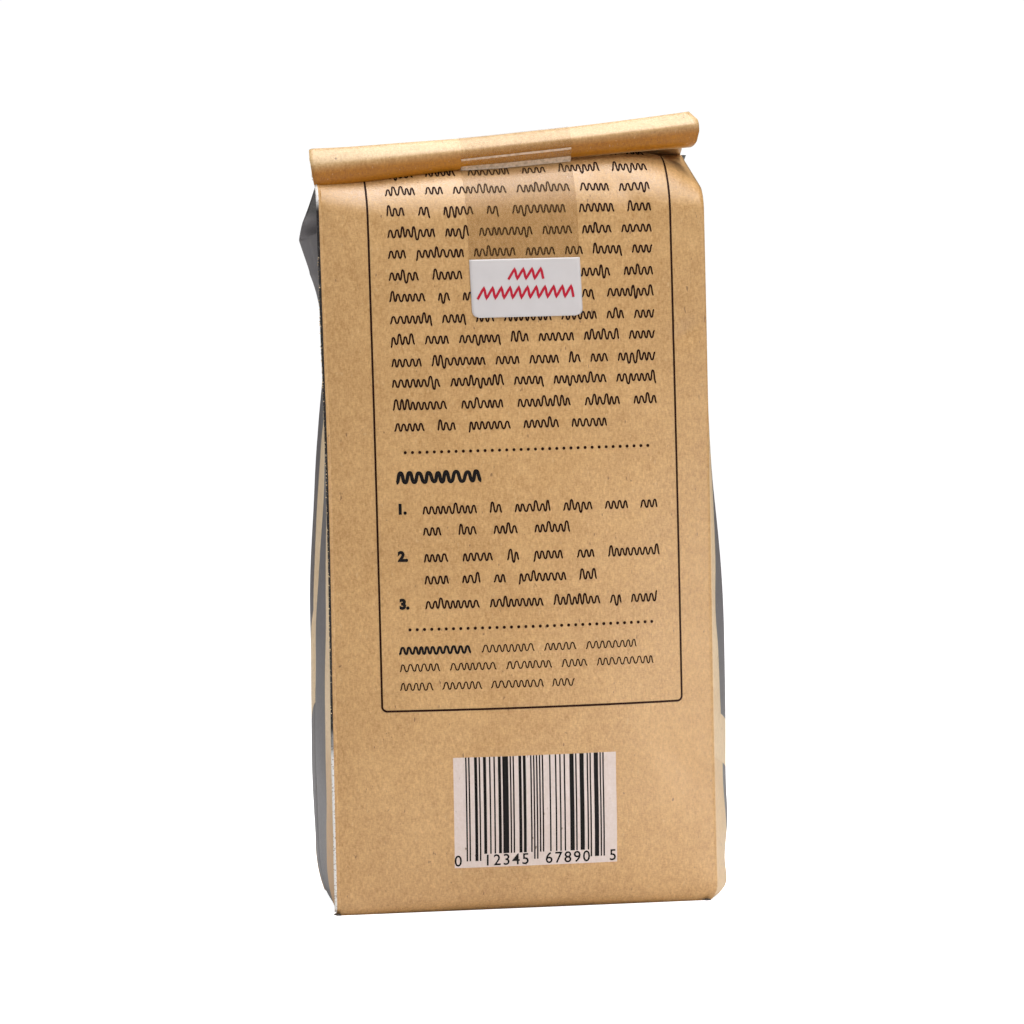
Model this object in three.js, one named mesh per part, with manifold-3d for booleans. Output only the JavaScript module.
// Coffee bag: a side-gusset kraft bag, filled and standing on its base. Its top is rolled down towards the
// front and held by a strip of clear resealable tape that ends in a white lift tab.
// Millimetres, +Z up. The front panel faces -Y, and the filled bag stands on z = 0.
import * as THREE from 'three';
import { mergeVertices } from 'three/addons/utils/BufferGeometryUtils.js';
import Module from 'manifold-3d';

const degrees = THREE.MathUtils.degToRad;

// Panels, measured between their creases
const faceWidth = 88.5;
const gussetDepth = 58;
const backShift = 1.5;          // the back panel stands this much further right than the front panel
const boxShift = -2.3;          // brings the middle of the whole bag over the origin
const shoulderStart = 146;      // the panels are upright below this height

// The neck, where the two shoulders meet: its height at the middle, its rise to the right, and how far its
// ends hang below a straight line
const neckHeight = 171.2;
const neckRise = 1.6;
const neckHang = 1.3;
const neckHalf = 1.0;

// Shoulders: bend radius at the middle and the ends, and slopes in degrees
const bendMiddle = 13;
const bendEnd = 6;
const frontSlope = 3;
const frontSlopeRight = 18;
const backSlope = 22;

// How far the beans push each side out at its fullest
const frontBelly = 6.6;
const backBelly = 6.2;
const rightBelly = 6.3;
const leftBelly = 3.2;
const bellyHeight = 172;        // the push fades out here

// The slack upper part of each gusset: its back crease is drawn in between these heights
const dentLow = 60;
const dentPeak = 125;
const dentHigh = 154;
const leftDent = 5.2;
const rightDent = 3.4;
const slackHollow = 1.6;
const tuckStart = 0.2;          // share of the way from shoulderStart to the neck where the gusset folds in
const tuckDepth = 15;           // depth of the pocket that this leaves under the shoulders
const tuckDrop = 5;

// Base: rounded foot, shallow hollow underneath, and the folded seal across it
const footRound = 1.6;
const footHeight = 4;
const footTuck = 3.2;
const footTuckHeight = 12;
const baseRim = 5;
const baseHollow = 0.8;
const sealWidth = 9;

// Roll: an oval bundle of the flattened top, lying on the front shoulder and rising to the right
const rollTall = 8.7;
const rollDeep = 9.2;
const rollY = -21.6;
const rollZ = 173.2;
const rollRise = 3.2;           // its axis at the right end, above its middle
const rollLeft = -46;
const rollRight = 44.4;
const layerStep = 2.2;          // how much narrower the roll is at the tip of its right end
const stripLeaves = 72;         // where the strip to the neck leaves the roll, in degrees up from the back
const stripSag = 1.2;
const stripThick = 1.0;         // the four layers between the neck and the roll

// Tape and its tab
const tapeWidth = 25.4;
const tapeThick = 0.3;
const tapeGap = 0.3;
const tapeX = 2.3;              // middle of the tape where it meets the tab
const tapeLean = degrees(1.2);  // it leans a little to the left as it rises
const tabTop = 148.2;
const tabTall = 13.2;
const tabCorner = 1.6;
const tapeLeaves = 167;         // distance up the front panel where the tape leaves it for the roll
const tapeTouches = 203;        // where it meets the front of the roll, in degrees
const tapeBackEnd = 128;        // its far end, as a distance up the back panel

const halfWidth = faceWidth / 2;
const halfDepth = gussetDepth / 2;
const mix = (a, b, t) => a + (b - a) * t;
const clamp01 = (t) => Math.min(1, Math.max(0, t));
const steps = (from, to, count) => Array.from({ length: count + 1 }, (_, i) => mix(from, to, i / count));

// Share of the full push at a height: none at the base, most at about a third of the way up
function fullness(z) {
  return Math.sin(Math.PI * Math.pow(clamp01(z / bellyHeight), 0.57));
}

// How far the slack part of a gusset is drawn in at a height, as a share of its deepest
function slack(z) {
  if (z <= dentLow || z >= dentHigh) return 0;
  if (z < dentPeak) return Math.pow((z - dentLow) / (dentPeak - dentLow), 1.7);
  return 1 - Math.pow((z - dentPeak) / (dentHigh - dentPeak), 2.5);
}

// The neck's height at a place across the width, from -1 at the left crease to 1 at the right
const neckAt = (u) => neckHeight + neckRise * u - neckHang * u * u;

// How round a shoulder bends, and how steeply it then runs to the neck. The front shoulder is puffed almost
// flat, and only its right end drops off.
function shoulderForm(side, u) {
  const bend = mix(bendMiddle, bendEnd, u ** 6);
  const slope = side < 0 ? mix(frontSlope, frontSlopeRight, Math.max(0, u) ** 4) : backSlope;
  return { bend, slope: degrees(slope) };
}

// Side view of one panel: upright, then a bend, then a straight shoulder to the neck, with y outwards
function panelProfile(side, u) {
  const { bend, slope } = shoulderForm(side, u);
  const turn = Math.PI / 2 - slope;
  const run = halfDepth - neckHalf - bend * (1 - Math.sin(slope));
  const bendStart = neckAt(u) - run * Math.tan(slope) - bend * Math.cos(slope);
  const total = bendStart + bend * turn + run / Math.cos(slope);
  const at = (distance) => {
    const angle = Math.min(Math.max(0, distance - bendStart) / bend, turn);
    const rest = Math.max(0, distance - bendStart - bend * turn);
    return {
      y: halfDepth - bend * (1 - Math.cos(angle)) - rest * Math.cos(slope),
      z: Math.min(distance, bendStart) + bend * Math.sin(angle) + rest * Math.sin(slope),
      outY: Math.cos(angle),
      outZ: Math.sin(angle),
    };
  };
  return { total, at };
}

// Point on the front (side -1) or back (side 1) panel, at a distance up it from the base
function panelPoint(side, u, distance) {
  const at = panelProfile(side, u).at(distance);
  const push = (side < 0 ? frontBelly : backBelly) * fullness(distance) * (1 - u * u);
  const out = push - footRound * Math.max(0, 1 - at.z / footHeight) ** 2;
  const drawnIn = u * u * u * slack(at.z) * (u < 0 ? leftDent : rightDent);
  const x = u * halfWidth + (side > 0 ? backShift - drawnIn : 0);
  return new THREE.Vector3(x, side * (at.y + at.outY * out), at.z + at.outZ * out);
}

// A level runs from 0 at the base through 1, where the shoulders start, to 2 at the neck
function distanceAt(side, u, level) {
  if (level <= 1) return level * shoulderStart;
  return mix(shoulderStart, panelProfile(side, u).total, level - 1);
}

// Point on the left (side -1) or right (side 1) gusset, across from 0 at the front crease to 1 at the back
function gussetPoint(side, across, level) {
  const front = panelPoint(-1, side, distanceAt(-1, side, level));
  const back = panelPoint(1, side, distanceAt(1, side, level));
  const point = front.lerp(back, across);
  const arch = 4 * across * (1 - across);
  const fold = 1 - Math.abs(2 * across - 1);
  const tuck = Math.sin(Math.PI * Math.pow(clamp01((level - 1 - tuckStart) / (1 - tuckStart)), 0.8)) * fold;
  const held = clamp01((1 + tuckStart - level) / tuckStart);
  const push = (side < 0 ? leftBelly : rightBelly) * fullness(Math.min(level, 1) * shoulderStart) * held;
  const foot = footTuck * Math.max(0, 1 - point.z / footTuckHeight) ** 2;
  point.x += side * ((push - slackHollow * slack(point.z) - foot) * arch - tuckDepth * tuck);
  point.z -= tuckDrop * tuck;
  return point;
}

// One closed ring round the bag at a level, anticlockwise seen from above, from the front left crease
const panelSteps = 14;
const gussetSteps = 8;
function bagRing(level) {
  const ring = [];
  const panel = (side, u) => ring.push(panelPoint(side, u, distanceAt(side, u, level)));
  const gusset = (side, across) => ring.push(gussetPoint(side, across, level));
  for (let i = 0; i < panelSteps; i++) panel(-1, mix(-1, 1, i / panelSteps));
  for (let i = 0; i < gussetSteps; i++) gusset(1, i / gussetSteps);
  for (let i = 0; i < panelSteps; i++) panel(1, mix(1, -1, i / panelSteps));
  for (let i = 0; i < gussetSteps; i++) gusset(-1, 1 - i / gussetSteps);
  return ring;
}

function meshOf(points, faces) {
  const geometry = new THREE.BufferGeometry();
  geometry.setAttribute('position', new THREE.Float32BufferAttribute(points.flatMap((p) => p.toArray()), 3));
  geometry.setIndex(faces);
  return geometry;
}

// A closed solid through a row of rings with the same number of points, with a fan over each end
function loft(rings) {
  const count = rings[0].length;
  const points = rings.flat();
  const faces = [];
  for (let r = 0; r + 1 < rings.length; r++) {
    for (let i = 0; i < count; i++) {
      const a = r * count + i;
      const b = r * count + (i + 1) % count;
      faces.push(a, b, b + count, a, b + count, a + count);
    }
  }
  const middle = (ring) => ring.reduce((sum, p) => sum.add(p), new THREE.Vector3()).divideScalar(count);
  const first = points.length;
  const top = (rings.length - 1) * count;
  points.push(middle(rings[0]), middle(rings[rings.length - 1]));
  for (let i = 0; i < count; i++) {
    const next = (i + 1) % count;
    faces.push(next, i, first, top + i, top + next, first + 1);
  }
  return meshOf(points, faces);
}

// The base ring drawn in towards its middle, at a height of its own
function baseRing(inset, z) {
  const point = (p) => new THREE.Vector3(p.x * (1 - inset / halfWidth), p.y * (1 - inset / halfDepth), z);
  return bagRing(0).map(point);
}

// The filled body, from the hollow of the base up to the neck
function bodySolid() {
  const upright = [0, 1, 2.5, 4.5, 8, 13, ...steps(19, shoulderStart, 18)];
  const shoulder = [...steps(1, 1 + tuckStart, 3), ...steps(1 + tuckStart, 2, 12).slice(1)].slice(1);
  return loft([
    baseRing(baseRim + 1, baseHollow),
    baseRing(baseRim, 0),
    ...upright.map((z) => bagRing(z / shoulderStart)),
    ...shoulder.map(bagRing),
  ]);
}

// The seal under the base, folded flat across it from side to side and sunk into the body
function sealSolid() {
  const tall = baseHollow + 0.6;
  const solid = new THREE.BoxGeometry(faceWidth - 2 * baseRim + 4, sealWidth, tall);
  solid.translate(0, 0, tall / 2);
  return solid;
}

// Point on the roll. Angle 0 faces the back, 90 degrees faces up and 180 degrees faces the front.
function rollPoint(x, angle, lift = 0) {
  return new THREE.Vector3(
    x,
    rollY + (rollDeep / 2 + lift) * Math.cos(degrees(angle)),
    rollZ + rollRise * x / halfWidth + (rollTall / 2 + lift) * Math.sin(degrees(angle)),
  );
}

// Point on the upper side of the strip, along from 0 at the roll to 1 at the neck
function stripPoint(x, along, lift = 0) {
  const neck = new THREE.Vector3(x, neckHalf, neckAt(x / halfWidth) + 0.4);
  const point = rollPoint(x, stripLeaves).lerp(neck, along);
  point.z += lift - stripSag * Math.sin(Math.PI * along);
  return point;
}

// Roll and strip together, as one outline carried along the roll. At the right end the inner layers stand out
// past the outer ones, so the outline narrows there.
function rollSolid() {
  const stations = [0, 0.08, 0.2, 0.35, 0.5, 0.65, 0.8, 0.92, 0.98, 0.99, 1];
  const underside = 380;
  const stepBack = (t) => layerStep * clamp01((t - 0.98) / 0.02);
  return loft(stations.map((t) => {
    const x = mix(rollLeft, rollRight, t);
    const neckFoot = neckAt(x / halfWidth) - 1.6;
    return [
      ...steps(stripLeaves, underside, 20).map((angle) => rollPoint(x, angle, -stepBack(t))),
      ...[0.3, 0.6].map((along) => stripPoint(x, along, -stripThick)),
      new THREE.Vector3(x, 0.3 - neckHalf, neckFoot),
      new THREE.Vector3(x, neckHalf - 0.3, neckFoot),
      ...[0.9, 0.6, 0.3].map((along) => stripPoint(x, along)),
    ];
  }));
}

// Point at a lift above the front or back panel, at a place measured along the width
function overPanel(side, x, distance, lift) {
  const at = (dx, dz) => {
    const u = (x + dx - (side > 0 ? backShift : 0)) / halfWidth;
    return panelPoint(side, u, distance + dz);
  };
  const wide = at(0.5, 0).sub(at(-0.5, 0));
  const up = at(0, 0.5).sub(at(0, -0.5));
  const out = side < 0 ? wide.cross(up) : up.cross(wide);
  return at(0, 0).addScaledVector(out.normalize(), lift);
}

// The way of the tape: up the front panel, across to the roll, over it, along the strip and down the back
const tapeRoute = [
  ...steps(tabTop + 0.3, tapeLeaves, 8).map((d) => (x, lift) => overPanel(-1, x, d, lift)),
  ...steps(tapeTouches, stripLeaves, 9).map((angle) => (x, lift) => rollPoint(x, angle, lift)),
  ...[0.25, 0.5, 0.75, 0.95].map((along) => (x, lift) => stripPoint(x, along, lift)),
  ...steps(186, tapeBackEnd, 12).map((d) => (x, lift) => overPanel(1, x, d, lift)),
];

// The tab's lower corners are rounded, so its lowest rows are narrower
const cornerInset = (h) => tabCorner - Math.sqrt(tabCorner ** 2 - Math.max(0, tabCorner - h) ** 2);
const tabHeights = [0, 0.2, 0.7, tabCorner, 4, 7.5, 10.5, tabTall];
const tabRoute = tabHeights.map((h) => (x, lift) => overPanel(-1, x, tabTop - tabTall + h, lift));

// A thin closed sheet along a route, over five places across it
function ribbon(route, halfWidths) {
  const shares = [-1, -0.5, 0, 0.5, 1];
  const layer = (lift) => route.flatMap((place, row) => {
    const middle = tapeX - (place(tapeX, 0).z - tabTop) * Math.tan(tapeLean);
    return shares.map((share) => place(middle + share * halfWidths[row], lift));
  });
  const wide = shares.length;
  const under = route.length * wide;
  const faces = [];
  const quad = (a, b, c, d) => faces.push(a, b, c, a, c, d);
  for (let row = 0; row + 1 < route.length; row++) {
    const left = row * wide;
    const right = left + wide - 1;
    for (let a = left; a < right; a++) {
      quad(a, a + 1, a + 1 + wide, a + wide);
      quad(a + under, a + wide + under, a + 1 + wide + under, a + 1 + under);
    }
    quad(left, left + wide, left + wide + under, left + under);
    quad(right, right + under, right + wide + under, right + wide);
  }
  const top = (route.length - 1) * wide;
  for (let c = 0; c + 1 < wide; c++) {
    quad(c, c + under, c + 1 + under, c + 1);
    quad(top + c, top + c + 1, top + c + 1 + under, top + c + under);
  }
  return meshOf([...layer(tapeGap + tapeThick), ...layer(tapeGap)], faces);
}

const wasm = await Module();
wasm.setup();

function toManifold(geometry) {
  const bare = geometry.clone();
  bare.deleteAttribute('normal');
  bare.deleteAttribute('uv');
  const merged = mergeVertices(bare, 1e-4);
  return new wasm.Manifold(new wasm.Mesh({
    numProp: 3,
    vertProperties: new Float32Array(merged.attributes.position.array),
    triVerts: new Uint32Array(merged.index.array),
  }));
}

function fromManifold(solid) {
  const mesh = solid.getMesh();
  const geometry = new THREE.BufferGeometry();
  geometry.setAttribute('position', new THREE.BufferAttribute(mesh.vertProperties, 3));
  geometry.setIndex(new THREE.BufferAttribute(mesh.triVerts, 1));
  return geometry;
}

const kraft = new THREE.MeshStandardMaterial({ color: 0xc49a66, roughness: 0.62, metalness: 0 });
const whiteFilm = new THREE.MeshStandardMaterial({ color: 0xd9d2d0, roughness: 0.4, metalness: 0 });
const clearFilm = new THREE.MeshStandardMaterial({
  color: 0xe9dcc4,
  roughness: 0.15,
  metalness: 0,
  transparent: true,
  opacity: 0.35,
});

const group = new THREE.Group();
function addPiece(name, geometry, material) {
  const mesh = new THREE.Mesh(geometry, material);
  mesh.name = name;
  mesh.position.x = boxShift;
  group.add(mesh);
}

const bag = toManifold(bodySolid()).add(toManifold(sealSolid())).add(toManifold(rollSolid()));
addPiece('bag', fromManifold(bag), kraft);
addPiece('tape', ribbon(tapeRoute, tapeRoute.map(() => tapeWidth / 2)), clearFilm);
addPiece('tape_tab', ribbon(tabRoute, tabHeights.map((h) => tapeWidth / 2 - cornerInset(h))), whiteFilm);

export default group;
